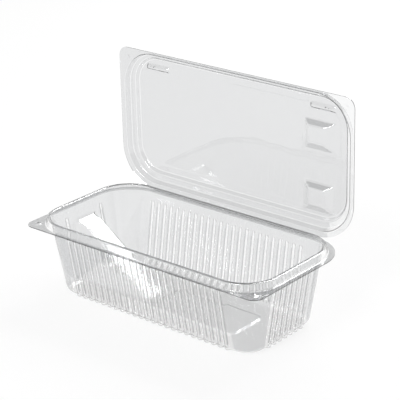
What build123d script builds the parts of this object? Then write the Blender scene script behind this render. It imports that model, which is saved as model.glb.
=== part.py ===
from build123d import *
import os
from math import cos, floor, hypot, radians, sin, tan

# Clear hinged food pack, formed from one plastic sheet: a fluted tray and a stepped lid
# that share a fold line at the back. Millimetres. +X runs along the fold, +Y points to
# the fold, +Z is up, and the origin is under the middle of the tray's floor.

# Sheet and fits
SHEET = 0.5  # thickness of the formed sheet
SEAL_GAP = 0.3  # room between the closed lid and the tray's rim

# Tray, measured on the middle line of the rim's ridge
RIDGE_LENGTH = 200.0
RIDGE_WIDTH = 96.0
RIDGE_RADIUS = 25.0  # corner radius
RIDGE_TOP = 2.8  # width of the ridge's flat top
RIDGE_HEIGHT = 5.3  # ridge above the flange
RIDGE_DRAFT = 9.0  # degrees
RIDGE_EDGE = 0.8  # bevel of the ridge's top edges
TRAY_HEIGHT = 58.5  # underside of the floor to the ridge's top
WALL_DRAFT = 9.5  # degrees
BOTTOM_ROUND = 10.0  # outer rounding between wall and floor
BOTTOM_BANDS = 3  # flat bands that make up the rounding

# Flange, from the ridge's middle line to its edge
FLANGE_END = 6.4
FLANGE_FRONT = 4.6
FLANGE_BACK = 7.2  # up to the fold
TAB_RADIUS = 7.5  # the small front corners, which make the opening tabs
BACK_RADIUS = 30.0
FOLD_RADIUS = 0.6  # bead of the fold line

# Flutes in the walls
FLUTE_PITCH = 6.0
FLUTE_HEIGHT = 1.0
FLUTE_CREST = 1.6  # width of the crest
FLUTE_FLANK = 0.45  # widening of each flank per unit of depth
FLUTE_DEPTH = 3.4  # how far the flute's body reaches in from its crest
FLUTE_FOOT_SLOPE = 6.0  # degrees, of the crest under the bottom edge
FLUTE_TOP_GAP = 3.0  # below the flange
FLUTE_FLOOR_GAP = 0.2  # crest above the floor's underside
FLUTE_FLOOR_RUN = 8.0  # reach of the crest under the floor
FLUTE_MARGIN = 4.0  # first flute to the start of a corner

# Ramp pressed into the left end wall
RAMP_WIDTH = 17.0  # across its sloped face
RAMP_TOP = 44.0  # height where it leaves the wall
RAMP_SHELF = 10.5  # length of the short facet at the top
RAMP_SHELF_DROP = 3.0
RAMP_FOOT = 74.0  # reach of the slope from the ridge's middle line
RAMP_DRAFT = 10.0  # degrees, of the two sides

# Raised panel in the floor
PANEL_RISE = 0.9
PANEL_LENGTH = 78.0
PANEL_WIDTH = 36.0
PANEL_RADIUS = 6.0
PANEL_DRAFT = 45.0
PANEL_END_GAP = 41.5  # from the ridge's middle line at the right end

# Lid
LID_LAND_INSET = 3.4  # end of the land over the ridge, inside the ridge's middle line
LID_LAND_FRONT = 1.0  # the same at the front, where the land is narrower
LID_DOME_RISE = 3.2  # panel above the land
LID_DOME_DRAFT = 32.0  # degrees

# Snap buttons in the tabs
BUTTON_RADIUS = 2.4
BUTTON_HEIGHT = 1.2

# Pads at the right end of the lid, which point into the pack
PAD_LENGTH = 27.0
PAD_WIDTH = 22.0
PAD_CORNER = 3.0  # bevel of its four corners
PAD_TOP_LENGTH = 13.0
PAD_TOP_WIDTH = 13.0
PAD_TOP_SHIFT = 1.6  # of the top, towards the front
PAD_DEPTH = 5.0
PAD_END_GAP = 28.5  # pad's middle from the ridge's middle line
PAD_FRONT_GAP = 31.2  # from the front ridge line to the first pad's middle
PAD_SPACING = 46.0

# Ledge bars at the front corners of the lid
BAR_LENGTH = 21.5
BAR_WIDTH = 4.4
BAR_TOP_LENGTH = 19.0
BAR_TOP_WIDTH = 2.2
BAR_DEPTH = 2.6
BAR_END_GAP = 25.2
BAR_FRONT_GAP = 9.6

# Places that follow from the sizes
FLANGE_Z = TRAY_HEIGHT - RIDGE_HEIGHT
MOUTH = -RIDGE_TOP / 2  # cavity edge, outwards from the ridge's middle line
FOLD_Y = RIDGE_WIDTH / 2 + FLANGE_BACK
FOLD_Z = FLANGE_Z + SEAL_GAP / 2
LAND_Z = TRAY_HEIGHT + SEAL_GAP
PANEL_Z = LAND_Z + LID_DOME_RISE  # underside of the lid's panel
CUT = 5.0  # how far cutting forms run past what they cut


def rim_face(offset, z):
    """The rim's rounded rectangle at height z, moved outwards from the ridge's middle line."""
    length = RIDGE_LENGTH + 2 * offset
    width = RIDGE_WIDTH + 2 * offset
    return Pos(0, 0, z) * RectangleRounded(length, width, RIDGE_RADIUS + offset)


def narrowing(face, height, draft, up):
    """A solid that narrows away from a face."""
    way = (0, 0, 1) if up else (0, 0, -1)
    return extrude(face, amount=height, dir=way, taper=draft)


def bowl(rim_offset, floor_z, radius):
    """A drafted bowl from the rim down to floor_z, with its bottom edge rounded by flat bands."""
    turn = (90 - WALL_DRAFT) / (BOTTOM_BANDS + 1)
    reach = radius / cos(radians(turn / 2))
    face = rim_face(rim_offset, TRAY_HEIGHT)
    body = Part()
    top = TRAY_HEIGHT
    for i in range(BOTTOM_BANDS + 1):
        draft = WALL_DRAFT + i * turn
        low = floor_z + radius - reach * sin(radians(draft + turn / 2))
        band = narrowing(face, top - low, draft, up=False)
        face = band.faces().sort_by(Axis.Z)[0]
        body += band
        top = low
    return body


def flange_plate(z, back):
    """Flange sheet with its underside at z, from the front edge to a given distance behind the ridge."""
    length = RIDGE_LENGTH + 2 * FLANGE_END
    front = RIDGE_WIDTH / 2 + FLANGE_FRONT
    rear = RIDGE_WIDTH / 2 + back
    face = Pos(0, (rear - front) / 2) * Rectangle(length, front + rear)
    face = fillet(face.vertices().group_by(Axis.Y)[0], TAB_RADIUS)
    face = fillet(face.vertices().group_by(Axis.Y)[-1], BACK_RADIUS)
    return extrude(Pos(0, 0, z) * face, amount=SHEET)


def tab_places():
    """Middle of each front tab."""
    x = RIDGE_LENGTH / 2 + FLANGE_END - TAB_RADIUS
    y = RIDGE_WIDTH / 2 + FLANGE_FRONT - TAB_RADIUS
    return [Pos(-x, -y), Pos(x, -y)]


def button(grow, base_z):
    """A round button on a sheet whose underside is at base_z, grown sideways."""
    face = Pos(0, 0, base_z) * Circle(BUTTON_RADIUS + grow)
    return extrude(face, amount=BUTTON_HEIGHT + SHEET)


def meet(one, other):
    """Where two lines meet, each given by the angle of its normal and its distance from the origin."""
    (angle_a, dist_a), (angle_b, dist_b) = one, other
    a, b = radians(angle_a), radians(angle_b)
    u = (dist_a * sin(b) - dist_b * sin(a)) / sin(b - a)
    z = (dist_b * cos(a) - dist_a * cos(b)) / sin(b - a)
    return u, z


def flute(half, inset):
    """One flute on the wall that faces -Y, whose outer face meets z = 0 at y = -half.

    Its crest runs down the wall, turns at the bottom edge and sinks into the floor.
    inset moves every face of it in, for the inner side of the sheet.
    """
    top = FLANGE_Z - FLUTE_TOP_GAP
    wall = (-WALL_DRAFT, FLUTE_HEIGHT - inset)
    foot_turn = FLUTE_FOOT_SLOPE - 90
    sink = FLUTE_FLOOR_RUN * cos(radians(foot_turn)) - FLUTE_FLOOR_GAP * sin(radians(foot_turn))
    ground = (foot_turn, -sink - inset)
    crest_line = [
        meet(wall, (90, top - inset)),
        meet(wall, ground),
        meet((180, FLUTE_FLOOR_RUN), ground),
    ]
    path = Polyline(*[(0, -half - u, z) for u, z in crest_line])
    crest = FLUTE_CREST / 2 + inset * FLUTE_FLANK - inset * hypot(1, FLUTE_FLANK)
    deep = FLUTE_DEPTH - inset
    foot = crest + deep * FLUTE_FLANK
    start = Plane(origin=path @ 0, x_dir=(1, 0, 0), z_dir=path % 0)
    outline = Polyline((-crest, 0), (crest, 0), (foot, -deep), (-foot, -deep), close=True)
    return sweep(start * make_face(outline), path=path, transition=Transition.RIGHT)


def flute_row(straight):
    """Evenly spaced flute places along a straight stretch of wall."""
    count = floor((straight - 2 * FLUTE_MARGIN) / FLUTE_PITCH) + 1
    return [(i - (count - 1) / 2) * FLUTE_PITCH for i in range(count)]


def flutes(inset):
    """Every flute of the tray: both long walls, the right end, and the left end beside the ramp."""
    drop = TRAY_HEIGHT * tan(radians(WALL_DRAFT))
    outer = MOUTH + SHEET - drop
    half_width = RIDGE_WIDTH / 2 + outer
    half_length = RIDGE_LENGTH / 2 + outer
    corner = 2 * (RIDGE_RADIUS + MOUTH + SHEET)
    on_long = flute(half_width, inset)
    on_end = flute(half_length, inset)
    keep_out = RAMP_WIDTH / 2 + RAMP_TOP * tan(radians(RAMP_DRAFT)) + FLUTE_CREST
    row = []
    for x in flute_row(RIDGE_LENGTH + 2 * (MOUTH + SHEET) - corner):
        row.append(Pos(x, 0, 0) * on_long)
        row.append(Rot(0, 0, 180) * Pos(x, 0, 0) * on_long)
    for x in flute_row(RIDGE_WIDTH + 2 * (MOUTH + SHEET) - corner):
        row.append(Rot(0, 0, 90) * Pos(x, 0, 0) * on_end)
        if abs(x) > keep_out:
            row.append(Rot(0, 0, -90) * Pos(x, 0, 0) * on_end)
    return row


def ramp(inset):
    """The sloped wedge at the left end; inset shrinks it for the hollow underneath."""
    wall_x = (TRAY_HEIGHT - RAMP_TOP) * tan(radians(WALL_DRAFT)) - RIDGE_LENGTH / 2 - MOUTH
    fold = Vector(wall_x + RAMP_SHELF, 0, RAMP_TOP - RAMP_SHELF_DROP)
    foot = Vector(RAMP_FOOT - RIDGE_LENGTH / 2, 0, SHEET)
    back_x = wall_x - FLANGE_END - CUT
    back_z = RAMP_TOP + (wall_x - back_x) * RAMP_SHELF_DROP / RAMP_SHELF
    beyond = foot + (foot - fold).normalized() * 2 * CUT
    side = make_face(
        Polyline(
            (back_x, 0, back_z),
            fold,
            beyond,
            (back_x, 0, beyond.Z),
            close=True,
        )
    )
    if inset:
        side = offset(side, -inset, kind=Kind.INTERSECTION)
    wedge = extrude(side, amount=RIDGE_WIDTH / 2, dir=(0, 1, 0), both=True)
    across = Plane(origin=fold, x_dir=(0, 1, 0), z_dir=(foot - fold).normalized())
    lean = tan(radians(RAMP_DRAFT))
    half = RAMP_WIDTH / 2 - inset / cos(radians(RAMP_DRAFT))
    deep = TRAY_HEIGHT + CUT
    section = Polyline(
        (CUT * lean - half, CUT),
        (half - CUT * lean, CUT),
        (half + deep * lean, -deep),
        (-half - deep * lean, -deep),
        close=True,
    )
    sides = extrude(across * make_face(section), amount=RIDGE_LENGTH, both=True)
    return wedge & sides


def floor_panel():
    """The low raised panel as it stands up from the floor inside the tray."""
    right = RIDGE_LENGTH / 2 - PANEL_END_GAP
    outline = RectangleRounded(PANEL_LENGTH, PANEL_WIDTH, PANEL_RADIUS)
    place = Pos(right - PANEL_LENGTH / 2, 0, SHEET)
    return narrowing(place * outline, PANEL_RISE, PANEL_DRAFT, up=True)


def make_tray():
    """The fluted tray with its ridge, flange, tabs and the bead of the fold."""
    outer = bowl(MOUTH + SHEET, 0, BOTTOM_ROUND) + flutes(0)
    cavity = bowl(MOUTH, SHEET, BOTTOM_ROUND - SHEET) + flutes(SHEET)
    outer = outer - ramp(SHEET) - Pos(0, 0, -SHEET) * floor_panel()
    cavity = cavity - ramp(0) - floor_panel()

    under = FLANGE_Z - SHEET
    lean = tan(radians(RIDGE_DRAFT))
    foot = RIDGE_HEIGHT * lean - MOUTH
    ridge = narrowing(rim_face(foot, FLANGE_Z), RIDGE_HEIGHT, RIDGE_DRAFT, up=True)
    hollow_foot = foot + SHEET * lean - SHEET
    hollow = narrowing(rim_face(hollow_foot, under), RIDGE_HEIGHT, RIDGE_DRAFT, up=True)
    rim = flange_plate(under, FLANGE_BACK) + ridge
    fold_length = RIDGE_LENGTH + 2 * (FLANGE_END - BACK_RADIUS)
    rim += Pos(0, FOLD_Y, FOLD_Z) * Rot(0, 90, 0) * Cylinder(FOLD_RADIUS, fold_length)
    rim += [place * button(0, under) for place in tab_places()]
    rim -= hollow
    rim -= [place * button(-SHEET, under - SHEET) for place in tab_places()]
    tray = (rim + outer) - cavity
    ridge_edges = tray.edges().filter_by_position(Axis.Z, TRAY_HEIGHT, TRAY_HEIGHT)
    return chamfer(ridge_edges, RIDGE_EDGE)


def wedge(plane, base, top, shift, depth):
    """A long bar that hangs from the lid's panel and narrows down to its top, which is shifted sideways."""
    section = Polyline(
        (-base / 2, PANEL_Z + SHEET),
        (base / 2, PANEL_Z + SHEET),
        (shift + top / 2, PANEL_Z - depth),
        (shift - top / 2, PANEL_Z - depth),
        close=True,
    )
    return extrude(plane * make_face(section), amount=RIDGE_WIDTH, both=True)


def hanging(length, width, top_length, top_width, depth, shift=0):
    """A tapered form with flat sides that hangs from the lid's panel, its top shifted to the front."""
    along = wedge(Plane.XZ, length, top_length, 0, depth)
    across = wedge(Plane.YZ, width, top_width, -shift, depth)
    return along & across


def cut_corners(form, corner):
    """The same form with its four slanted edges bevelled."""
    slanted = [edge for edge in form.edges() if edge.tangent_at(0).Z]
    return chamfer(slanted, corner)


def lid_forms():
    """The pads at the right end and the ledge bars at the front corners."""
    pad = hanging(PAD_LENGTH, PAD_WIDTH, PAD_TOP_LENGTH, PAD_TOP_WIDTH, PAD_DEPTH, PAD_TOP_SHIFT)
    pad = cut_corners(pad, PAD_CORNER)
    pad_x = RIDGE_LENGTH / 2 - PAD_END_GAP
    pad_y = PAD_FRONT_GAP - RIDGE_WIDTH / 2
    bar = hanging(BAR_LENGTH, BAR_WIDTH, BAR_TOP_LENGTH, BAR_TOP_WIDTH, BAR_DEPTH)
    bar_x = RIDGE_LENGTH / 2 - BAR_END_GAP
    bar_y = BAR_FRONT_GAP - RIDGE_WIDTH / 2
    return [
        Pos(pad_x, pad_y) * pad,
        Pos(pad_x, pad_y + PAD_SPACING) * pad,
        Pos(-bar_x, bar_y) * bar,
        Pos(bar_x, bar_y) * bar,
    ]


def dome_face():
    """Foot of the lid's dome, which comes closer to the ridge at the front than at the other sides."""
    length = RIDGE_LENGTH - 2 * LID_LAND_INSET
    width = RIDGE_WIDTH - LID_LAND_INSET - LID_LAND_FRONT
    outline = RectangleRounded(length, width, RIDGE_RADIUS - LID_LAND_INSET)
    return Pos(0, (LID_LAND_FRONT - LID_LAND_INSET) / 2, LAND_Z) * outline


def make_lid():
    """The stepped lid, shaped closed over the tray and then opened upright about the fold."""
    under = FLANGE_Z + SEAL_GAP
    step = LAND_Z - under
    lean = tan(radians(RIDGE_DRAFT))
    foot = SEAL_GAP + step * lean - MOUTH
    step_in = narrowing(rim_face(foot, under), step, RIDGE_DRAFT, up=True)
    step_out = narrowing(rim_face(foot + SHEET, under), step + SHEET, RIDGE_DRAFT, up=True)
    dome_in = narrowing(dome_face(), LID_DOME_RISE, LID_DOME_DRAFT, up=True)
    dome_out = Pos(0, 0, SHEET) * dome_in
    lid = flange_plate(under, FLANGE_BACK - FOLD_RADIUS - SEAL_GAP) + step_out + dome_out
    lid += [place * button(SEAL_GAP + SHEET, under) for place in tab_places()]
    lid -= step_in + dome_in
    lid -= [place * button(SEAL_GAP, under - SHEET) for place in tab_places()]
    lid += lid_forms()
    lid -= [Pos(0, 0, SHEET) * form for form in lid_forms()]
    return Pos(0, FOLD_Y, FOLD_Z) * Rot(-90, 0, 0) * Pos(0, -FOLD_Y, -FOLD_Z) * lid


os.makedirs("parts", exist_ok=True)
export_step(make_tray(), "parts/tray.step")
export_step(make_lid(), "parts/lid.step")
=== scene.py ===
# %% [markdown]
# This lesson dresses a clear hinged food pack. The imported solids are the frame: they say how big
# everything is and what moves. Here the two formed sheets, the tray and the lid, are made again with
# soft edges and a clear plastic, and are set to ride on the frame's bodies.

# %% Load the frame
from math import cos, radians, sin, tan

import bpy
import numpy as np
from mathutils import Matrix, Vector


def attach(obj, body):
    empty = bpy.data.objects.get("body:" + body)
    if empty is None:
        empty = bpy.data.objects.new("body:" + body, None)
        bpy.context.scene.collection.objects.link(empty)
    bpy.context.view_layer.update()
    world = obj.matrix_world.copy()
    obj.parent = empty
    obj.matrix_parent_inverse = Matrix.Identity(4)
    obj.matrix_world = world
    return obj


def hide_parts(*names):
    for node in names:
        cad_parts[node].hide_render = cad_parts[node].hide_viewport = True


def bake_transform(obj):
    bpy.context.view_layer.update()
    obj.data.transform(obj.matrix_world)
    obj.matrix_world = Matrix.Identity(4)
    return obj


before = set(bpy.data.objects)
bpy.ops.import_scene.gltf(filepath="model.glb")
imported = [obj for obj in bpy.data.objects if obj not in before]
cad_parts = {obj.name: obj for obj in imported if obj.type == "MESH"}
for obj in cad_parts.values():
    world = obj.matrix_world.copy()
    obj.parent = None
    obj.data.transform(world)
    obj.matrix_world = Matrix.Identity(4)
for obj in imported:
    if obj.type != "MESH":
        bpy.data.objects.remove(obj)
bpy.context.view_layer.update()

# %% [markdown]
# A formed sheet follows a few measured lines: the ridge round the rim, the flange outside it, the
# wall below it. These are the sizes of the solids, in millimetres and degrees, so that both models
# agree. Only the round of the bottom edge differs: the solids have flat bands there, and here it is
# smooth and tighter.

# %% Sizes of the sheet, the rim and the walls
MM = 0.001
SHEET = 0.5
RIDGE_LENGTH = 200.0
RIDGE_WIDTH = 96.0
RIDGE_RADIUS = 25.0
RIDGE_HALF_TOP = 1.4
RIDGE_Z = 58.5
RIDGE_DRAFT = 9.0
FLANGE_Z = 53.2
FLANGE_END = 6.4
FLANGE_FRONT = 4.6
FLANGE_BACK = 7.2
TAB_RADIUS = 7.5
BACK_RADIUS = 30.0
WALL_DRAFT = 9.5
BOTTOM_ROUND = 6.0
FOLD_RADIUS = 0.6
SEAL_GAP = 0.3
FOLD_Y = RIDGE_WIDTH / 2 + FLANGE_BACK
FOLD_Z = FLANGE_Z + SEAL_GAP / 2
STRAIGHT_X = RIDGE_LENGTH / 2 - RIDGE_RADIUS
STRAIGHT_Y = RIDGE_WIDTH / 2 - RIDGE_RADIUS
print("fold line at y", FOLD_Y, "z", FOLD_Z)

# %% [markdown]
# Both sheets have the same plan: rings that run round the rim and shrink inwards, and a flat field
# in the middle. A subdivided box would give the same outline, but its rows wouldn't follow the
# flutes. Every ring has the same stations, so the rings join up into rows of quads. A station is a
# place on the ridge's middle line with the direction that points outwards there.

# %% Stations round the rim
FRONT_STEPS = 44
BACK_STEPS = 20


def rim_stations(xs, ys):
    """Places on the ridge's middle line, anticlockwise from the front left, and their outward directions."""
    places, outward = [], []

    def straight(points, direction):
        for point in points:
            places.append(point)
            outward.append(direction)

    def corner(cx, cy, start, steps):
        for i in range(1, steps):
            angle = radians(start + 90 * i / steps)
            direction = (cos(angle), sin(angle))
            places.append((cx + RIDGE_RADIUS * direction[0], cy + RIDGE_RADIUS * direction[1]))
            outward.append(direction)

    half_x, half_y = RIDGE_LENGTH / 2, RIDGE_WIDTH / 2
    straight([(x, -half_y) for x in xs], (0, -1))
    corner(STRAIGHT_X, -STRAIGHT_Y, -90, FRONT_STEPS)
    straight([(half_x, y) for y in ys], (1, 0))
    corner(STRAIGHT_X, STRAIGHT_Y, 0, BACK_STEPS)
    straight([(x, half_y) for x in xs[::-1]], (0, 1))
    corner(-STRAIGHT_X, STRAIGHT_Y, 90, BACK_STEPS)
    straight([(-half_x, y) for y in ys[::-1]], (-1, 0))
    corner(-STRAIGHT_X, -STRAIGHT_Y, 180, FRONT_STEPS)
    return np.array(places), np.array(outward)


print("stations in a front corner:", FRONT_STEPS - 1, "and in a back corner:", BACK_STEPS - 1)

# %% [markdown]
# The flange is the flat lip that one holds. Its front corners are tabs with a small radius and its
# back corners are wide, so its edge isn't parallel to the ridge. At every station the way out to
# the edge is found by halving a range again and again, which needs no formula for each corner.

# %% The flange's edge
FARTHEST_EDGE = 60.0
HALVINGS = 40


def flange_reach(places, outward, back):
    """How far the flange's edge lies outside the ridge's middle line at each station."""
    half = RIDGE_LENGTH / 2 + FLANGE_END
    front_edge = RIDGE_WIDTH / 2 + FLANGE_FRONT
    back_edge = RIDGE_WIDTH / 2 + back

    def inside(points):
        x, y = points.T
        radius = np.where(y < 0, TAB_RADIUS, BACK_RADIUS)
        depth = np.where(y < 0, y + front_edge, back_edge - y)
        side = half - np.abs(x)
        off_corner = (depth > radius) | (side > radius)
        rounded = np.hypot(radius - depth, radius - side) < radius
        return (depth > 0) & (side > 0) & (off_corner | rounded)

    low = np.zeros(len(places))
    high = np.full(len(places), FARTHEST_EDGE)
    for _ in range(HALVINGS):
        middle = (low + high) / 2
        hit = inside(places + outward * middle[:, None])
        low = np.where(hit, middle, low)
        high = np.where(hit, high, middle)
    return low


print("flange corners:", TAB_RADIUS, "mm at the front and", BACK_RADIUS, "mm at the back")

# %% [markdown]
# A sheet that was formed over a mould has no sharp edges. A Bevel modifier could round them, but
# rings that already follow the bends keep the quads even. So the section is laid out as a bent
# line with a short curve at each corner, and each point of that line becomes a ring.

# %% Soft bends and rings
BEND_LEG = 1.0
BEND_STEPS = 4
BEND_ROWS = BEND_STEPS + 1
BEND_MIDDLE = BEND_STEPS // 2
FLANGE_STEPS = 8


def rounded_line(points):
    """A bent line with a curve at each inner corner, at most to half a leg; its two ends are left out."""
    points = np.array(points, float)
    line = []
    for before, corner, after in zip(points, points[1:], points[2:]):
        start = corner + (before - corner) * min(0.5, BEND_LEG / np.linalg.norm(before - corner))
        end = corner + (after - corner) * min(0.5, BEND_LEG / np.linalg.norm(after - corner))
        for t in np.linspace(0, 1, BEND_ROWS):
            line.append((1 - t) ** 2 * start + 2 * t * (1 - t) * corner + t**2 * end)
    return np.array(line)


def ring_points(places, outward, reach, line, flange_z):
    """Rings from the flange's edge inwards, and then along a line of (offset, height) pairs."""
    rings = []
    for t in np.linspace(0, 1, FLANGE_STEPS, endpoint=False):
        offset = reach * (1 - t) + line[0][0] * t
        rings.append(np.column_stack([places + outward * offset[:, None], np.full(len(places), flange_z)]))
    for offset, z in line:
        rings.append(np.column_stack([places + outward * offset, np.full(len(places), z)]))
    return np.array(rings)


def smooth(value, low, high):
    """A soft step from 0 at low to 1 at high."""
    t = np.clip((value - low) / (high - low), 0, 1)
    return t * t * (3 - 2 * t)


def soft_least(a, b, softness):
    """The smaller of two values, rounded where they are nearly equal."""
    gap = np.maximum(softness - np.abs(a - b), 0)
    return np.minimum(a, b) - gap * gap / (4 * softness)


print("each bend has", BEND_ROWS, "rings and the flange has", FLANGE_STEPS)

# %% [markdown]
# One function joins the rings and the field into a mesh. In a corner the last ring shrinks to a
# point, so the quads there become triangles. Nothing is welded afterwards, because every point is
# made once and the faces share it.

# %% Rings and field to mesh
def mesh_object(name, points, faces):
    """An object in the scene with a mesh from points, in metres, and faces."""
    mesh = bpy.data.meshes.new(name)
    mesh.from_pydata(points, [], faces)
    mesh.update()
    thing = bpy.data.objects.new(name, mesh)
    bpy.context.collection.objects.link(thing)
    return thing


def sheet_mesh(name, rings, field, flip):
    """A mesh object from rings (row, station) and a field (x row, y column); flip turns its faces over."""
    rows, stations = rings.shape[:2]
    nx, ny = field.shape[:2]
    ring_index = np.arange(rows * stations).reshape(rows, stations)
    cells = rows * stations + np.arange(nx * ny).reshape(nx, ny)
    front_corner, back_corner = FRONT_STEPS - 1, BACK_STEPS - 1
    field_edge = np.concatenate([
        cells[:, 0],
        np.repeat(cells[-1, 0], front_corner),
        cells[-1],
        np.repeat(cells[-1, -1], back_corner),
        cells[::-1, -1],
        np.repeat(cells[0, -1], back_corner),
        cells[0, ::-1],
        np.repeat(cells[0, 0], front_corner),
    ])
    index = np.vstack([ring_index, field_edge]).tolist()
    faces = []
    for outer_row, inner_row in zip(index, index[1:]):
        for s in range(stations):
            n = (s + 1) % stations
            loop = [outer_row[s], outer_row[n], inner_row[n], inner_row[s]]
            faces.append(list(dict.fromkeys(loop)))
    cells = cells.tolist()
    for i in range(nx - 1):
        for k in range(ny - 1):
            faces.append([cells[i][k], cells[i + 1][k], cells[i + 1][k + 1], cells[i][k + 1]])
    if flip:
        faces = [face[::-1] for face in faces]
    points = np.vstack([rings.reshape(-1, 3), field.reshape(-1, 3)]) * MM
    return mesh_object(name, points.tolist(), faces)


# %% [markdown]
# The tray's inner face is laid out first: flange, ridge, drafted wall, rounded bottom edge and floor.
# The stations along a wall crowd together at the flutes, which need them, and are far apart between
# them. An even spacing that is fine enough for a flute would need about half as many again.

# %% The tray's stations
FLUTE_PITCH = 6.0
FLUTES_LONG = 24
FLUTES_END = 7
# Places about a flute's middle; the last one is halfway to the next flute.
FLUTE_SPREAD = (-1.7, -1.2, -0.75, -0.3, 0.3, 0.75, 1.2, 1.7, 3.0)


def fluted_stations(count, half):
    """Station places along a wall with a number of flutes, from end to end."""
    middles = [(i - (count - 1) / 2) * FLUTE_PITCH for i in range(count)]
    places = [middle + d for middle in middles for d in FLUTE_SPREAD][:-1]
    return [-half, -half + (places[0] + half) / 2, *places, (places[-1] + half) / 2, half]


tray_xs = fluted_stations(FLUTES_LONG, STRAIGHT_X)
tray_ys = fluted_stations(FLUTES_END, STRAIGHT_Y)
places, outward = rim_stations(tray_xs, tray_ys)
reach = flange_reach(places, outward, FLANGE_BACK - FOLD_RADIUS)
print("tray stations:", len(places), "with the flange's edge at most", round(reach.max(), 2), "mm out")

# %% [markdown]
# The tray's section runs from the flange over the ridge and down the wall. The wall's rings lie
# closer together near the top, where the flutes run out and the ramp leaves the wall.

# %% The tray's section and plain rings
FLANGE_LEG = 2.0
WALL_LEVELS = (51.5, 50.5, 49.7, 48.9, 48.1, 47.3, 45.0, 44.0, 43.0, 41.5, 40.0, 39.0, 32.0, 24.0, 16.0)
ROUND_STEPS = 10
FLOOR_OFFSETS = (-21.5, -23.5)


def wall_offset(z):
    """Offset of the inner face of the wall at a height."""
    return -RIDGE_HALF_TOP - (RIDGE_Z - z) * tan(radians(WALL_DRAFT))


ridge_foot = RIDGE_HALF_TOP + (RIDGE_Z - FLANGE_Z) * tan(radians(RIDGE_DRAFT))
rim_line = rounded_line([
    (ridge_foot + FLANGE_LEG, FLANGE_Z),
    (ridge_foot, FLANGE_Z),
    (RIDGE_HALF_TOP, RIDGE_Z),
    (-RIDGE_HALF_TOP, RIDGE_Z),
    (wall_offset(FLANGE_Z), FLANGE_Z),
])
wall_line = [(wall_offset(z), z) for z in WALL_LEVELS]
round_z = SHEET + BOTTOM_ROUND
round_offset = wall_offset(round_z) - BOTTOM_ROUND / cos(radians(WALL_DRAFT))
round_angles = np.radians(np.linspace(-WALL_DRAFT, -90, ROUND_STEPS))
round_line = [(round_offset + BOTTOM_ROUND * cos(a), round_z + BOTTOM_ROUND * sin(a)) for a in round_angles]
floor_line = [(offset, SHEET) for offset in FLOOR_OFFSETS]
tray_line = np.vstack([rim_line, wall_line, round_line, floor_line])
first_wall = FLANGE_STEPS + len(rim_line)
first_round = first_wall + len(wall_line)
rings = ring_points(places, outward, reach, tray_line, FLANGE_Z)
field = np.array([[(x, y, SHEET) for y in tray_ys] for x in tray_xs])
print("tray:", rings.shape[0], "rings of", rings.shape[1], "stations, field", field.shape[:2])

# %% [markdown]
# The left end has a ramp pressed into it: a short shelf where it leaves the wall, then a straight
# slope down to the floor. A Boolean would cut it cleanly but leave ragged faces, so the rows that
# would run down the wall and over the floor are led along the ramp instead.

# %% The ramp's section
RAMP_Z = 44.0
RAMP_SHELF = (10.5, -3.0)
SHELF_SHARES = (0.0, 0.8, 0.97)
RAMP_FOOT_X = -26.0
FADE_ROWS = 24

left = [s for s in range(len(places)) if outward[s][0] == -1][::-1]
foot_row = int(np.argmin(np.abs(np.array(tray_xs) - RAMP_FOOT_X)))
end_row = foot_row + FADE_ROWS
lines = np.concatenate([rings[:, left].transpose(1, 0, 2), field[:end_row].transpose(1, 0, 2)], axis=1)
plain_line = lines[0, :, [0, 2]].T
lip = first_wall + WALL_LEVELS.index(RAMP_Z)
bend = lip + len(SHELF_SHARES)
foot = rings.shape[0] + foot_row
lip_point = plain_line[lip]
bend_point = lip_point + RAMP_SHELF
foot_point = np.array([RAMP_FOOT_X, SHEET])
travel = np.concatenate([[0], np.cumsum(np.linalg.norm(np.diff(plain_line, axis=0), axis=1))])
ramp_line = plain_line.copy()
for m, share in enumerate(SHELF_SHARES):
    ramp_line[lip + m] = lip_point + (bend_point - lip_point) * share
for m in range(bend, foot + 1):
    share = (travel[m] - travel[bend]) / (travel[foot] - travel[bend])
    ramp_line[m] = bend_point + (foot_point - bend_point) * share
print("ramp: lip at", lip_point.round(1), "bend at", bend_point.round(1), "foot at", foot_point)

# %% [markdown]
# Across the ramp, the middle columns of points lie on its top, the next ones make its steep sides,
# and the rest stay on the plain wall. The sides lean outwards, so that the pack comes off its mould.

# %% The ramp's top and sides
RAMP_HALF = 8.5
RAMP_DRAFT = 10.0
TOP_STATION = 7.3
SIDE_STATION = 12.4

slope = (foot_point - bend_point) / np.linalg.norm(foot_point - bend_point)
slope_up = np.array([-slope[1], slope[0]])


def ramp_half(point):
    """Half the ramp's width at a point beside it, which grows with the depth under the slope."""
    return RAMP_HALF + max(0.0, float(slope_up @ (bend_point - point))) * tan(radians(RAMP_DRAFT))


for m in range(lip, lines.shape[1]):
    fade = 1 - smooth(m, foot, end_row + rings.shape[0])
    top_half, side_half = ramp_half(ramp_line[m]), ramp_half(plain_line[m])
    for k, y in enumerate(tray_ys):
        side, far = np.sign(y), abs(y)
        if far <= TOP_STATION:
            point = ramp_line[m]
            new_far = far / TOP_STATION * top_half
        elif far <= SIDE_STATION:
            t = (far - TOP_STATION) / (SIDE_STATION - TOP_STATION)
            point = ramp_line[m] * (1 - t) + plain_line[m] * t
            new_far = top_half * (1 - t) + side_half * t
        else:
            t = (far - SIDE_STATION) / (STRAIGHT_Y - SIDE_STATION)
            point = plain_line[m]
            new_far = side_half * (1 - t) + STRAIGHT_Y * t
        lines[k, m] = (point[0], side * (new_far * fade + far * (1 - fade)), point[1])
print("ramp:", round(2 * RAMP_HALF, 1), "mm wide on top")

# %% [markdown]
# Formed sheet can't follow a sharp edge. Three rounds of averaging across the ramp and one along it
# give its soft bends, and then the points go back into the rings and the field.

# %% Soften the ramp
RAMP_SOFTENING = 3
ROWS_OVER_LIP = 2
ROWS_PAST_FOOT = 6

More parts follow.
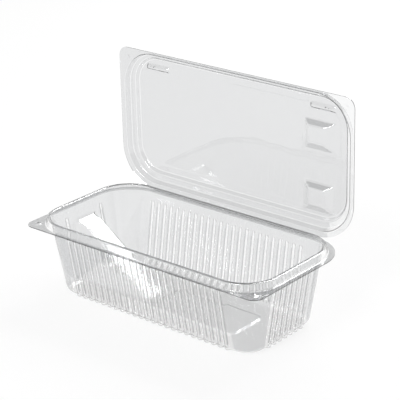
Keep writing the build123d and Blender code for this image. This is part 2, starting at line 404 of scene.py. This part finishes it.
soft = lines.copy()
columns = slice(2, -2)
first, last = lip - ROWS_OVER_LIP, foot + ROWS_PAST_FOOT
span = slice(first, last)
for _ in range(RAMP_SOFTENING):
    soft[columns, span] = (soft[1:-3, span] + 2 * soft[columns, span] + soft[3:-1, span]) / 4
before, after = slice(first - 1, last - 1), slice(first + 1, last + 1)
soft[columns, span] = (soft[columns, before] + 2 * soft[columns, span] + soft[columns, after]) / 4
rings[:, left] = soft[:, : rings.shape[0]].transpose(1, 0, 2)
field[:end_row] = soft[:, rings.shape[0] :].transpose(1, 0, 2)
print("softening moves a point by up to", round(np.abs(soft - lines).max(), 2), "mm")

# %% [markdown]
# A low raised panel stiffens the floor, and each front tab has a snap button. Both are gentle lifts
# of the points that are already there, so they need no new faces.

# %% Floor panel and snap buttons
FLOOR_PANEL_RISE = 0.9
FLOOR_PANEL_X = (-19.5, 58.5)
FLOOR_PANEL_WIDTH = 36.0
FLOOR_PANEL_CORNER = 6.0
FLOOR_PANEL_SLOPE = 1.6
BUTTON_HEIGHT = 1.2
BUTTON_TOP_RADIUS = 0.84
BUTTON_FOOT_RADIUS = 2.64
TAB_X = RIDGE_LENGTH / 2 + FLANGE_END - TAB_RADIUS
TAB_Y = -(RIDGE_WIDTH / 2 + FLANGE_FRONT - TAB_RADIUS)


def floor_panel_distance(x, y):
    """Distance outside the floor panel's rounded rectangle, negative inside it."""
    start, end = FLOOR_PANEL_X
    dx = np.abs(x - (start + end) / 2) - (end - start) / 2 + FLOOR_PANEL_CORNER
    dy = np.abs(y) - FLOOR_PANEL_WIDTH / 2 + FLOOR_PANEL_CORNER
    outside = np.hypot(np.maximum(dx, 0), np.maximum(dy, 0))
    return outside + np.minimum(np.maximum(dx, dy), 0) - FLOOR_PANEL_CORNER


def lift_buttons(flange):
    """Raises the two snap buttons out of a flange."""
    for side in (-1, 1):
        far = np.hypot(flange[..., 0] - side * TAB_X, flange[..., 1] - TAB_Y)
        flange[..., 2] += BUTTON_HEIGHT * (1 - smooth(far, BUTTON_TOP_RADIUS, BUTTON_FOOT_RADIUS))


panel = floor_panel_distance(field[..., 0], field[..., 1])
field[..., 2] += FLOOR_PANEL_RISE * (1 - smooth(panel, -FLOOR_PANEL_SLOPE, 0))
lift_buttons(rings[:FLANGE_STEPS])
print("panel lifts", int((panel < 0).sum()), "points")

# %% [markdown]
# The flutes stiffen the walls. They repeat, so Geometry Nodes make them, and the points only carry
# what the tree needs. The first thing is the way from a point to the crest of a flute at its height.
# Under the bottom edge the crest keeps a sharper corner than the wall, which makes a row of beads
# along that edge, just clear of the ground.

# %% The crest of a flute
FLUTE_HEIGHT = 1.0
FLUTE_TOP = 50.2
FLUTE_RUN_OUT = 3.2
FOOT_SLOPE = 6.0
FOOT_RUN = 8.0
FOOT_GAP = 0.2
BEAD_SOFTNESS = 0.7

# The crest's underside is a straight line. It passes a point that is FOOT_RUN inside the foot of the
# wall and FOOT_GAP above the ground, and climbs outwards. Its distance from the middle of the
# rounding is what the bead needs.
wall_normal = radians(-WALL_DRAFT)
foot_normal = radians(FOOT_SLOPE - 90)
foot_line = -(FOOT_RUN * cos(foot_normal) - FOOT_GAP * sin(foot_normal)) - SHEET
centre_u = -BOTTOM_ROUND * (1 - sin(radians(WALL_DRAFT))) / cos(radians(WALL_DRAFT)) - SHEET
foot_distance = foot_line - (centre_u * cos(foot_normal) + round_z * sin(foot_normal))


def bead_reach(angle):
    """How far the crest stands out from the rounded bottom edge, seen from the rounding's middle."""
    on_wall = (BOTTOM_ROUND + FLUTE_HEIGHT) / cos(angle - wall_normal)
    on_foot = foot_distance / cos(angle - foot_normal)
    return max(soft_least(on_wall, on_foot, BEAD_SOFTNESS) - BOTTOM_ROUND, 0.0)


crest_way = np.zeros((rings.shape[0], 2))
for m, z in enumerate(WALL_LEVELS):
    rise = FLUTE_HEIGHT * (1 - smooth(z, FLUTE_TOP - FLUTE_RUN_OUT, FLUTE_TOP))
    crest_way[first_wall + m] = (rise * cos(wall_normal), rise * sin(wall_normal))
for m, angle in enumerate(round_angles):
    crest_way[first_round + m] = (bead_reach(angle) * cos(angle), bead_reach(angle) * sin(angle))
to_crest = np.zeros_like(rings)
to_crest[..., :2] = outward[None] * crest_way[:, None, :1]
to_crest[..., 2] = crest_way[:, 1:]
print("bead stands out", round(max(bead_reach(a) for a in round_angles), 2), "mm at the bottom edge")

# %% [markdown]
# The other things are how far along its wall a point is, whether that wall has flutes there, and
# how much wider a flute is where it ends as a bead. The left end has one flute on each side of the
# ramp, three pitches off the middle.

# %% Where the flutes are
RAMP_FLUTE_Y = 3 * FLUTE_PITCH
RAMP_FLUTES = 2
BEAD_WIDENING = 0.9
BEAD_REACH = (0.98, 1.15)

widening = 1 + BEAD_WIDENING * smooth(np.hypot(*crest_way.T), *BEAD_REACH)
long_wall = np.abs(outward[:, 1]) == 1
right_wall = outward[:, 0] == 1
left_wall = outward[:, 0] == -1
on_long = long_wall[None, :] & (np.abs(rings[..., 0]) < FLUTE_PITCH * FLUTES_LONG / 2)
on_right = right_wall[None, :] & (np.abs(rings[..., 1]) < FLUTE_PITCH * FLUTES_END / 2)
on_left = left_wall[None, :] & (np.abs(np.abs(rings[..., 1]) - RAMP_FLUTE_Y) < FLUTE_PITCH / 2)
fluted = (on_long | on_right | on_left).astype(float)
along = np.where(long_wall[None, :], rings[..., 0] + FLUTE_PITCH / 2, rings[..., 1])
print("flutes:", 2 * FLUTES_LONG + FLUTES_END + RAMP_FLUTES)

# %% [markdown]
# Now the tray becomes a mesh, and each value is stored on its points as a named attribute, which is
# a plain way to hand many numbers from Python to Geometry Nodes.

# %% The tray's sheet with its flute attributes
def point_attribute(thing, name, kind, *values):
    """Stores a value for every ring point and then every field point; points left over get zero."""
    width = 3 if kind == "FLOAT_VECTOR" else 1
    data = np.zeros((len(thing.data.vertices), width), np.float32)
    values = np.concatenate([part.reshape(-1, width) for part in values])
    data[: len(values)] = values
    layer = thing.data.attributes.new(name, kind, "POINT")
    layer.data.foreach_set("vector" if width == 3 else "value", data.ravel())


tray_sheet = sheet_mesh("tray_sheet", rings, field, flip=False)
point_attribute(tray_sheet, "along", "FLOAT", along * MM)
point_attribute(tray_sheet, "fluted", "FLOAT", fluted)
point_attribute(tray_sheet, "widening", "FLOAT", np.repeat(widening, rings.shape[1]))
point_attribute(tray_sheet, "to_crest", "FLOAT_VECTOR", to_crest * MM)
print("tray sheet:", len(tray_sheet.data.polygons), "faces")

# %% [markdown]
# Forming draws the sheet out: a formed tray keeps its flange thick and is thinner elsewhere. One
# more attribute paints light and shade into the tint of each point, from pale to dark. On the tray
# the flange keeps the darker tint of flat sheet. The ridge's outer side, the floor, the right end and
# the foot of the walls get a pale tint that is a painted highlight, lower down at the back and the
# left than at the front and the right. These places were chosen for how clear each looks.

# %% Painted highlight on the tray
HIGHLIGHT = 1.0
SOFT_HIGHLIGHT = 0.6
PLAIN = 0.0
DARK_TINT = -1.0

ridge_outside = slice(FLANGE_STEPS + BEND_MIDDLE, FLANGE_STEPS + BEND_ROWS + BEND_MIDDLE + 1)
front_wall = outward[:, 1] == -1
tray_painted_light = np.full(rings.shape[:2], PLAIN)
# The flange keeps the darker tint of flat sheet.
tray_painted_light[: FLANGE_STEPS + 1] = DARK_TINT
# Painted highlight on the ridge's outer side, the right end and the foot of the walls, and on the floor.
tray_painted_light[ridge_outside] = HIGHLIGHT
tray_painted_light[first_wall:, right_wall] = SOFT_HIGHLIGHT
tray_painted_light[first_round:, front_wall | right_wall] = HIGHLIGHT
tray_painted_light[first_round + ROUND_STEPS // 2 :] = HIGHLIGHT
point_attribute(tray_sheet, "painted_light", "FLOAT", tray_painted_light, np.full(field.shape[:2], SOFT_HIGHLIGHT))
print("drawn thin:", int((tray_painted_light == HIGHLIGHT).sum()), "of", tray_painted_light.size, "ring points")

# %% [markdown]
# The clear plastic is one Principled shader with full transmission. A faint noise in the normal
# gives the slight waviness of formed sheet, which is what breaks up the reflections. The same
# plastic comes in six tints: the tray's and the flat sheet's own tints, two pale ones that are painted
# highlights and two dark ones that are painted shade.

# %% The clear plastic
PLASTIC_ROUGHNESS = 0.03
PLASTIC_IOR = 1.58
WAVE_SCALE = 55.0
WAVE_DETAIL = 1.0
WAVE_DEPTH = 0.0006


def clear_plastic(name, tint, waviness):
    """Clear formed sheet with a faint waviness."""
    material = bpy.data.materials.new(name)
    material.use_nodes = True
    nodes, links = material.node_tree.nodes, material.node_tree.links
    shader = nodes["Principled BSDF"]
    shader.inputs["Base Color"].default_value = (*tint, 1)
    shader.inputs["Roughness"].default_value = PLASTIC_ROUGHNESS
    shader.inputs["IOR"].default_value = PLASTIC_IOR
    shader.inputs["Transmission Weight"].default_value = 1.0
    where = nodes.new("ShaderNodeTexCoord")
    noise = nodes.new("ShaderNodeTexNoise")
    noise.inputs["Scale"].default_value = WAVE_SCALE
    noise.inputs["Detail"].default_value = WAVE_DETAIL
    bump = nodes.new("ShaderNodeBump")
    bump.inputs["Strength"].default_value = waviness
    bump.inputs["Distance"].default_value = WAVE_DEPTH
    links.new(where.outputs["Object"], noise.inputs["Vector"])
    links.new(noise.outputs["Fac"], bump.inputs["Height"])
    links.new(bump.outputs["Normal"], shader.inputs["Normal"])
    return material


# The two palest tints are painted highlights.
highlight_plastic = clear_plastic("painted_highlight_sheet", tint=(0.985, 0.985, 0.985), waviness=0.12)
soft_highlight_plastic = clear_plastic("painted_soft_highlight_sheet", tint=(0.92, 0.923, 0.925), waviness=0.2)
tray_plastic = clear_plastic("tray_sheet", tint=(0.8, 0.805, 0.81), waviness=0.25)
flat_plastic = clear_plastic("flat_sheet", tint=(0.76, 0.765, 0.77), waviness=0.12)
# The two darkest tints are painted shade, for shade lines and for shaded slopes.
shade_line_plastic = clear_plastic("painted_shade_line_sheet", tint=(0.64, 0.645, 0.65), waviness=0.12)
shade_plastic = clear_plastic("painted_shade_sheet", tint=(0.56, 0.565, 0.57), waviness=0.12)
print("materials:", [m.name for m in bpy.data.materials if m.name.endswith("_sheet")])

# %% [markdown]
# A node tree that is wired in Python gets long, so a few helpers make its commonest nodes. They
# take numbers or other nodes' outputs, and serve the flutes, the floor and the surroundings.

# %% Helpers for node trees
def plug(tree, socket, value):
    """Sets a socket to a number, or links it to another node's output."""
    if isinstance(value, (int, float)):
        socket.default_value = value
    else:
        tree.links.new(value, socket)


def maths(tree, operation, *values):
    """The output of a Math node."""
    node = tree.nodes.new("ShaderNodeMath")
    node.operation = operation
    for socket, value in zip(node.inputs, values):
        plug(tree, socket, value)
    return node.outputs[0]


def soft_step(tree, value, low, high, at_low, at_high):
    """The output of a Map Range node that goes softly from one value to another."""
    node = tree.nodes.new("ShaderNodeMapRange")
    node.interpolation_type = "SMOOTHSTEP"
    given = {"Value": value, "From Min": low, "From Max": high, "To Min": at_low, "To Max": at_high}
    for label, number in given.items():
        plug(tree, node.inputs[label], number)
    return node.outputs["Result"]


def named(tree, label, kind="FLOAT"):
    """The attribute that the points carry under a name."""
    node = tree.nodes.new("GeometryNodeInputNamedAttribute")
    node.data_type = kind
    node.inputs["Name"].default_value = label
    return node.outputs["Attribute"]


def vector_maths(tree, operation, vector):
    """A Vector Math node that works on one vector."""
    node = tree.nodes.new("ShaderNodeVectorMath")
    node.operation = operation
    tree.links.new(vector, node.inputs[0])
    return node


# %% [markdown]
# The flute itself: the place along the wall goes back and forth within one pitch, a soft step turns
# that into a bump, and each point moves towards its crest by the bump's share. One tree makes every
# flute, and another pitch or crest is one number.

# %% Press the flutes
def press_flutes(tree, start):
    """The geometry with its flutes, and each point's share of the way to a crest."""
    half_pitch = maths(tree, "MULTIPLY", start.outputs["Pitch"], 0.5)
    off_middle = maths(tree, "PINGPONG", named(tree, "along"), half_pitch)
    off_middle = maths(tree, "DIVIDE", off_middle, named(tree, "widening"))
    half_crest = maths(tree, "MULTIPLY", start.outputs["Crest"], 0.5)
    foot_of_flank = maths(tree, "ADD", half_crest, start.outputs["Flank"])
    bump = soft_step(tree, off_middle, half_crest, foot_of_flank, 1.0, 0.0)
    share = maths(tree, "MULTIPLY", bump, named(tree, "fluted"))
    move = vector_maths(tree, "SCALE", named(tree, "to_crest", "FLOAT_VECTOR"))
    tree.links.new(share, move.inputs["Scale"])
    shift = tree.nodes.new("GeometryNodeSetPosition")
    tree.links.new(start.outputs["Geometry"], shift.inputs["Geometry"])
    tree.links.new(move.outputs[0], shift.inputs["Offset"])
    real = tree.nodes.new("GeometryNodeRealizeInstances")
    tree.links.new(shift.outputs["Geometry"], real.inputs["Geometry"])
    return real.outputs["Geometry"], share


# %% [markdown]
# The tree also gives each face its tint. A face takes the mean of its points' values, so the limits
# lie between the levels. Crests get a pale tint that is a painted highlight, and the flanks beside
# them a dark one that is a painted shade line. A later choice covers an earlier one.

# %% Choose the tints
SOFT_HIGHLIGHT_ABOVE = 0.45
HIGHLIGHT_ABOVE = 0.9
SHADE_LINE_BELOW = -0.55
DARK_TINT_BELOW = -0.9
SHADE_LINE_SHARE = 0.3
SHADE_LINE_SPREAD = 0.27


def tint_choices(tree, start, share):
    """Which faces each material goes to; the first one goes to all."""
    crest = vector_maths(tree, "LENGTH", named(tree, "to_crest", "FLOAT_VECTOR")).outputs["Value"]
    stretch = maths(tree, "MULTIPLY", crest, share)
    # Faces near a crest take the painted highlight, faces partway down a flank the painted shade line.
    crest_highlight = maths(tree, "GREATER_THAN", stretch, start.outputs["Highlight Above"])
    rising = maths(tree, "GREATER_THAN", crest, start.outputs["Crest"])
    shade_line = maths(tree, "MULTIPLY", rising, maths(tree, "COMPARE", share, SHADE_LINE_SHARE, SHADE_LINE_SPREAD))
    painted_light = named(tree, "painted_light")
    return {
        "Material": None,
        "Soft Highlight Material": maths(tree, "GREATER_THAN", painted_light, SOFT_HIGHLIGHT_ABOVE),
        "Shade Line Material": maths(tree, "MAXIMUM", shade_line, maths(tree, "LESS_THAN", painted_light, SHADE_LINE_BELOW)),
        "Highlight Material": maths(tree, "MAXIMUM", crest_highlight, maths(tree, "GREATER_THAN", painted_light, HIGHLIGHT_ABOVE)),
        "Dark Tint Material": maths(tree, "LESS_THAN", painted_light, DARK_TINT_BELOW),
    }


# %% [markdown]
# The tree's inputs are its sizes and its materials, so that the tray and the lid can share it. An
# input is set by its socket's identifier, because two sockets may have the same name.

# %% The flute tree
CREST_WIDTH = 0.5
FLANK_WIDTH = 1.3
# How far a face moves towards its crest before it takes the painted highlight.
HIGHLIGHT_STRETCH = 0.7


def flute_tree():
    """Geometry Nodes that press repeating flutes into a sheet and paint highlight and shade into its tint.
    """
    tree = bpy.data.node_groups.new("wall_flutes", "GeometryNodeTree")
    sockets = tree.interface
    sockets.new_socket("Geometry", in_out="INPUT", socket_type="NodeSocketGeometry")
    for label in ("Pitch", "Crest", "Flank", "Highlight Above"):
        sockets.new_socket(label, in_out="INPUT", socket_type="NodeSocketFloat")
    for label in ("Material", "Soft Highlight Material", "Shade Line Material", "Highlight Material", "Dark Tint Material"):
        sockets.new_socket(label, in_out="INPUT", socket_type="NodeSocketMaterial")
    sockets.new_socket("Geometry", in_out="OUTPUT", socket_type="NodeSocketGeometry")
    start = tree.nodes.new("NodeGroupInput")
    end = tree.nodes.new("NodeGroupOutput")
    geometry, share = press_flutes(tree, start)
    for label, choice in tint_choices(tree, start, share).items():
        dress = tree.nodes.new("GeometryNodeSetMaterial")
        tree.links.new(geometry, dress.inputs["Geometry"])
        tree.links.new(start.outputs[label], dress.inputs["Material"])
        if choice:
            tree.links.new(choice, dress.inputs["Selection"])
        geometry = dress.outputs["Geometry"]
    tree.links.new(geometry, end.inputs["Geometry"])
    return tree


def add_tree(thing, tree, values):
    """Adds a node tree to an object and sets its inputs by their sockets' identifiers."""
    modifier = thing.modifiers.new(tree.name, "NODES")
    modifier.node_group = tree
    for item in tree.interface.items_tree:
        if item.in_out == "INPUT" and item.name in values:
            modifier[item.identifier] = values[item.name]


wall_flutes = flute_tree()
forming = {
    "Pitch": FLUTE_PITCH * MM,
    "Crest": CREST_WIDTH * MM,
    "Flank": FLANK_WIDTH * MM,
    "Highlight Above": HIGHLIGHT_STRETCH * MM,
    "Highlight Material": highlight_plastic,
    "Shade Line Material": shade_line_plastic,
}
# On the tray the soft highlights take the palest tint, and the flange the flat sheet's tint.
tray_tints = {"Material": tray_plastic, "Soft Highlight Material": highlight_plastic, "Dark Tint Material": flat_plastic}
add_tree(tray_sheet, wall_flutes, {**forming, **tray_tints})
print("flute tree:", len(wall_flutes.nodes), "nodes")

# %% [markdown]
# A sheet gets its thickness from Solidify, which grows it away from the face that was laid out.

# %% Thickness and the finished tray
SHARP_ANGLE = 65.0


def finish_sheet(thing, thickness, body, node):
    """Gives a sheet its thickness, makes it a plain mesh and sets it on its body."""
    wall = thing.modifiers.new("thickness", "SOLIDIFY")
    wall.thickness = thickness * MM
    wall.offset = -1
    wall.use_even_offset = False
    bpy.context.view_layer.update()
    evaluated = thing.evaluated_get(bpy.context.evaluated_depsgraph_get())
    mesh = bpy.data.meshes.new_from_object(evaluated)
    thing.modifiers.clear()
    thing.data = mesh
    for polygon in mesh.polygons:
        polygon.use_smooth = True
    mesh.set_sharp_from_angle(angle=radians(SHARP_ANGLE))
    if node:
        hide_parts(node)
    if body:
        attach(thing, body)
    mesh.calc_loop_triangles()
    print(thing.name, len(mesh.loop_triangles), "triangles")


finish_sheet(tray_sheet, SHEET, "tray", "tray")

# %% [markdown]
# The lid is laid out closed over the tray, by its underside, because its sizes follow the tray's
# ridge. Its section steps over the ridge, runs level as a narrow land, and rises to a shallow dome
# with a flat panel.

# %% The lid's section
LID_FLANGE_Z = FLANGE_Z + SEAL_GAP
LAND_Z = RIDGE_Z + SEAL_GAP
LAND_INSET = 3.4
DOME_RISE = 3.2
DOME_DRAFT = 32.0
SECOND_STEP_RISE = 0.35
PANEL_Z = LAND_Z + DOME_RISE - SECOND_STEP_RISE
PANEL_LEG = 6.0
PANEL_START = 1.8
PANEL_STOP = 0.4
PANEL_SPACING = 0.75

step_foot = RIDGE_HALF_TOP + SEAL_GAP + (LAND_Z - LID_FLANGE_Z) * tan(radians(RIDGE_DRAFT))
dome_top = -LAND_INSET - (PANEL_Z - LAND_Z) * tan(radians(DOME_DRAFT))
bent_line = rounded_line([
    (step_foot + FLANGE_LEG, LID_FLANGE_Z),
    (step_foot, LID_FLANGE_Z),
    (RIDGE_HALF_TOP + SEAL_GAP, LAND_Z),
    (-LAND_INSET, LAND_Z),
    (dome_top, PANEL_Z),
    (dome_top - PANEL_LEG, PANEL_Z),
])
panel_offsets = np.arange(dome_top - PANEL_START, PANEL_STOP - RIDGE_RADIUS, -PANEL_SPACING)
lid_line = np.vstack([bent_line, [(offset, PANEL_Z) for offset in panel_offsets]])
print("lid section:", len(bent_line), "points in bends and", len(panel_offsets), "on the panel")

# %% [markdown]
# The lid has no flutes, so its stations are evenly spaced, close enough to carry the pads. At the
# front the level land is narrower, so the dome's points there move closer to the ridge.

# %% The lid's rings and field
LID_COLUMNS = 151
LID_ROWS = 47
LAND_FRONT = 1.0

lid_xs = np.linspace(-STRAIGHT_X, STRAIGHT_X, LID_COLUMNS).tolist()
lid_ys = np.linspace(-STRAIGHT_Y, STRAIGHT_Y, LID_ROWS).tolist()
places, outward = rim_stations(lid_xs, lid_ys)
reach = flange_reach(places, outward, FLANGE_BACK - FOLD_RADIUS - SEAL_GAP)
rings = ring_points(places, outward, reach, lid_line, LID_FLANGE_Z)
field = np.array([[(x, y, PANEL_Z) for y in lid_ys] for x in lid_xs])
first_dome = FLANGE_STEPS + 2 * BEND_ROWS
first_panel = FLANGE_STEPS + len(bent_line)
for points in (rings[first_dome:], field):
    nearness = np.clip((STRAIGHT_Y - points[..., 1]) / (2 * STRAIGHT_Y), 0, 1)
    points[..., 1] -= (LAND_INSET - LAND_FRONT) * nearness
print("lid:", rings.shape[0], "rings of", rings.shape[1], "stations, field", field.shape[:2])

# %% [markdown]
# The lid is hardly drawn, so most of it keeps the plain tint of flat sheet. Its bends and the flange
# at the right end get a soft painted highlight, and the step at the right end a bright one, again
# chosen one by one. A station belongs to the right end when its outward direction points that way
# by more than a small share.

# %% Painted highlight on the lid
BEND_HIGHLIGHT = 0.5
RIGHTWARD_SHARE = 0.3

right_end = outward[:, 0] > RIGHTWARD_SHARE
lid_painted_light = np.full(rings.shape[:2], PLAIN)
# A soft painted highlight runs along the middle of each bend.
for bend_row in range(FLANGE_STEPS, first_panel, BEND_ROWS):
    lid_painted_light[bend_row + BEND_MIDDLE : bend_row + BEND_MIDDLE + 2] = BEND_HIGHLIGHT
# Painted highlight on the flange and the step at the right end.
lid_painted_light[:FLANGE_STEPS, right_end] = SOFT_HIGHLIGHT
lid_painted_light[FLANGE_STEPS:first_dome, right_end] = HIGHLIGHT
field_painted_light = np.full(field.shape[:2], PLAIN)
print("bends in the lid:", len(bent_line) // BEND_ROWS)

# %% [markdown]
# Two pads at the right end hold the food down, and two short ledges sit near the front corners.
# They hang from the panel towards the food. Each is the least of a few slopes, rounded where two
# slopes meet, which needs no separate mesh for the pad and no join.

# %% A form that hangs from the panel
EDGE_SOFTNESS = 0.3
BACK_SLOPE_SHADE = -0.7


def hang(points, middle, base, top, shift, depth):
    """Lowers a tapered form out of the panel, its top shifted frontwards; gives the painted shade of its
    slopes.
    """
    x = np.abs(points[..., 0] - middle[0])
    y = points[..., 1] - middle[1]
    ends = (base[0] / 2 - x) / (base[0] - top[0]) * 2
    front = (base[1] / 2 + y) / ((base[1] - top[1]) / 2 - shift)
    back = (base[1] / 2 - y) / ((base[1] - top[1]) / 2 + shift)
    steep = np.minimum(front, back)
    on_slope = (steep > 0) & (steep < np.minimum(ends, 1))
    # Painted shade: a dark tint on the front slope and a shade line on the back slope.
    painted_light = np.where(on_slope, np.where(front < back, DARK_TINT, BACK_SLOPE_SHADE), PLAIN)
    level_ends = soft_least(ends, np.ones_like(x), EDGE_SOFTNESS)
    share = soft_least(level_ends, soft_least(front, back, EDGE_SOFTNESS), EDGE_SOFTNESS)
    points[..., 2] += depth * soft_least(-share, np.zeros_like(x), EDGE_SOFTNESS)
    return painted_light


# %% [markdown]
# The pads and ledges are now pressed into the rings and the field alike. A faint second step runs
# round the panel and lifts it by about a third of a millimetre, and the lid's tabs get the same snap
# buttons as the tray's.

# %% Pads, ledges, the second step and the buttons
PADS = [(71.5, -16.8), (71.5, 29.2)]
PAD_BASE = (27.0, 22.0)
PAD_TOP = (13.0, 13.0)
PAD_TOP_SHIFT = 1.6
PAD_DEPTH = 5.0
LEDGES = [(-74.8, -38.4), (74.8, -38.4)]
LEDGE_BASE = (21.5, 4.4)
LEDGE_TOP = (19.0, 2.2)
LEDGE_DEPTH = 2.6
SECOND_STEP_INSET = 9.6
SECOND_STEP_RUN = 2.0

on_panel = rings[first_panel:]
# The pads' painted shade is added to the lid's tint levels; the ledges get none.
for points, painted_light in ((on_panel, lid_painted_light[first_panel:]), (field, field_painted_light)):
    for middle in PADS:
        painted_light += hang(points, middle, PAD_BASE, PAD_TOP, PAD_TOP_SHIFT, PAD_DEPTH)
    for middle in LEDGES:
        hang(points, middle, LEDGE_BASE, LEDGE_TOP, 0, LEDGE_DEPTH)
second = smooth(-panel_offsets, SECOND_STEP_INSET, SECOND_STEP_INSET + SECOND_STEP_RUN)
on_panel[..., 2] += (SECOND_STEP_RISE * second)[:, None]
field[..., 2] += SECOND_STEP_RISE
lift_buttons(rings[:FLANGE_STEPS])
print("pads:", len(PADS), "ledges:", len(LEDGES))

# %% [markdown]
# The finished points are turned upright about the fold, which is how the pack stands at rest. The
# turn swaps two axes, so it is written into the points and the object stays unturned at the origin.

# %% Open the lid and finish it
def about_fold(points):
    """Turns points of the closed lid upright about the fold."""
    turned = points.copy()
    turned[..., 1] = FOLD_Y + (points[..., 2] - FOLD_Z)
    turned[..., 2] = FOLD_Z - (points[..., 1] - FOLD_Y)
    return turned


lid_sheet = sheet_mesh("lid_sheet", about_fold(rings), about_fold(field), flip=True)
point_attribute(lid_sheet, "painted_light", "FLOAT", lid_painted_light, field_painted_light)
lid_tints = {"Material": flat_plastic, "Soft Highlight Material": soft_highlight_plastic, "Dark Tint Material": shade_plastic}
add_tree(lid_sheet, wall_flutes, {**forming, **lid_tints})
finish_sheet(lid_sheet, SHEET, "lid", "lid")

# %% [markdown]
# The fold is a thin rolled strip between the two sheets. It is set on neither body.

# %% The fold
FOLD_LENGTH = RIDGE_LENGTH + 2 * (FLANGE_END - BACK_RADIUS)
FOLD_SHEET = 0.3
FOLD_START = 195.0
FOLD_END = 430.0
FOLD_COLUMNS = 60
FOLD_STEPS = 17

fold_points, fold_faces = [], []
for x in np.linspace(-FOLD_LENGTH / 2, FOLD_LENGTH / 2, FOLD_COLUMNS):
    for angle in np.radians(np.linspace(FOLD_START, FOLD_END, FOLD_STEPS)):
        y = FOLD_Y + FOLD_RADIUS * cos(angle)
        z = FOLD_Z + FOLD_RADIUS * sin(angle)
        fold_points.append((x * MM, y * MM, z * MM))
for i in range(FOLD_COLUMNS - 1):
    for k in range(FOLD_STEPS - 1):
        a = i * FOLD_STEPS + k
        fold_faces.append((a, a + 1, a + FOLD_STEPS + 1, a + FOLD_STEPS))
fold_strip = mesh_object("fold", fold_points, fold_faces)
fold_strip.data.materials.append(tray_plastic)
finish_sheet(fold_strip, FOLD_SHEET, None, None)
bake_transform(fold_strip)

# %% [markdown]
# A clear object shows what is around it, so the set matters more than the material. To rays that
# come from the camera, or by way of the plastic, the floor is mostly a plain white glow. To all other
# rays it is matt, and the matt part that is left in the mix keeps the soft shadows.

# %% The floor
FLOOR_SIZE = 12.0
FLOOR_GAP = 0.0003
FLOOR_GREY = 0.8
FLOOR_GLOW = 0.88


def white_floor():
    """A pale floor that reads as white to the camera and in the plastic, and keeps soft shadows."""
    material = bpy.data.materials.new("pale_floor")
    material.use_nodes = True
    tree = material.node_tree
    tree.nodes.clear()
    out = tree.nodes.new("ShaderNodeOutputMaterial")
    matt = tree.nodes.new("ShaderNodeBsdfDiffuse")
    matt.inputs["Color"].default_value = (FLOOR_GREY, FLOOR_GREY, FLOOR_GREY, 1)
    glow = tree.nodes.new("ShaderNodeEmission")
    glow.inputs["Strength"].default_value = 1.0
    path = tree.nodes.new("ShaderNodeLightPath")
    seen = maths(tree, "MAXIMUM", path.outputs["Is Camera Ray"], path.outputs["Is Glossy Ray"])
    seen = maths(tree, "MAXIMUM", seen, path.outputs["Is Transmission Ray"])
    mix = tree.nodes.new("ShaderNodeMixShader")
    tree.links.new(maths(tree, "MULTIPLY", seen, FLOOR_GLOW), mix.inputs[0])
    tree.links.new(matt.outputs[0], mix.inputs[1])
    tree.links.new(glow.outputs[0], mix.inputs[2])
    tree.links.new(mix.outputs[0], out.inputs["Surface"])
    return material


half = FLOOR_SIZE / 2
corners = [(-half, -half), (half, -half), (half, half), (-half, half)]
floor = mesh_object("floor", [(x, y, -FLOOR_GAP) for x, y in corners], [(0, 1, 2, 3)])
floor.data.materials.append(white_floor())
print("floor:", FLOOR_SIZE, "m wide")

# %% [markdown]
# Round the set, a low band at the horizon is white and the rest is dark. The dark part is what draws
# grey lines along the edges of clear plastic, as a black card does in a studio. Heights run from 0 at
# the horizon to 1 straight up.

# %% The surroundings
HORIZON_TOP = 0.18
DARK_FROM = 0.3
DARK_LEVEL = 0.1

world = bpy.data.worlds.new("studio")
bpy.context.scene.world = world
world.use_nodes = True
tree = world.node_tree
direction = tree.nodes.new("ShaderNodeTexCoord")
split = tree.nodes.new("ShaderNodeSeparateXYZ")
tree.links.new(direction.outputs["Generated"], split.inputs[0])
brightness = soft_step(tree, split.outputs["Z"], HORIZON_TOP, DARK_FROM, 1.0, DARK_LEVEL)
tree.links.new(brightness, tree.nodes["Background"].inputs["Color"])
print("surroundings: white up to", HORIZON_TOP, "and dark from", DARK_FROM)

# %% [markdown]
# Two soft boxes high up, one behind the pack and one in front, give the bright glints. Large lamps
# are used because small ones would leave hard white dots in clear plastic.

# %% Lamps
def soft_box(name, place, target, size, watts):
    """A rectangular lamp aimed at a point."""
    lamp = bpy.data.lights.new(name, "AREA")
    lamp.shape = "RECTANGLE"
    lamp.size, lamp.size_y = size
    lamp.energy = watts
    thing = bpy.data.objects.new(name, lamp)
    thing.location = place
    thing.rotation_euler = (Vector(target) - Vector(place)).to_track_quat("-Z", "Y").to_euler()
    bpy.context.collection.objects.link(thing)


soft_box(
    "high_back",
    place=(-0.1, 0.95, 0.95),
    target=(-0.05, 0.0, 0.03),
    size=(0.9, 0.5),
    watts=18,
)
soft_box(
    "high_front",
    place=(0.085, -1.0, 1.005),
    target=(-0.05, 0.0, 0.02),
    size=(0.6, 0.45),
    watts=16,
)

# %% [markdown]
# The camera stands where the photo was taken from: in front, to the right and a little above. A
# long lens keeps the pack's edges nearly parallel.

# %% Camera
CAMERA_PLACE = (0.6884, -0.7838, 0.5047)
CAMERA_AZIMUTH = 40.613
CAMERA_ELEVATION = 22.121
CAMERA_ROLL = -1.481
CAMERA_LENS = 145.3
CAMERA_SENSOR = 36.0

camera_data = bpy.data.cameras.new("camera")
camera_data.lens = CAMERA_LENS
camera_data.sensor_width = CAMERA_SENSOR
camera = bpy.data.objects.new("camera", camera_data)
turn = Matrix.Rotation(radians(CAMERA_AZIMUTH), 4, "Z")
turn = turn @ Matrix.Rotation(radians(90 - CAMERA_ELEVATION), 4, "X")
turn = turn @ Matrix.Rotation(radians(CAMERA_ROLL), 4, "Z")
camera.matrix_world = Matrix.Translation(CAMERA_PLACE) @ turn
bpy.context.collection.objects.link(camera)
bpy.context.scene.camera = camera
bpy.context.scene.view_settings.view_transform = "Standard"
print("camera at", CAMERA_PLACE)
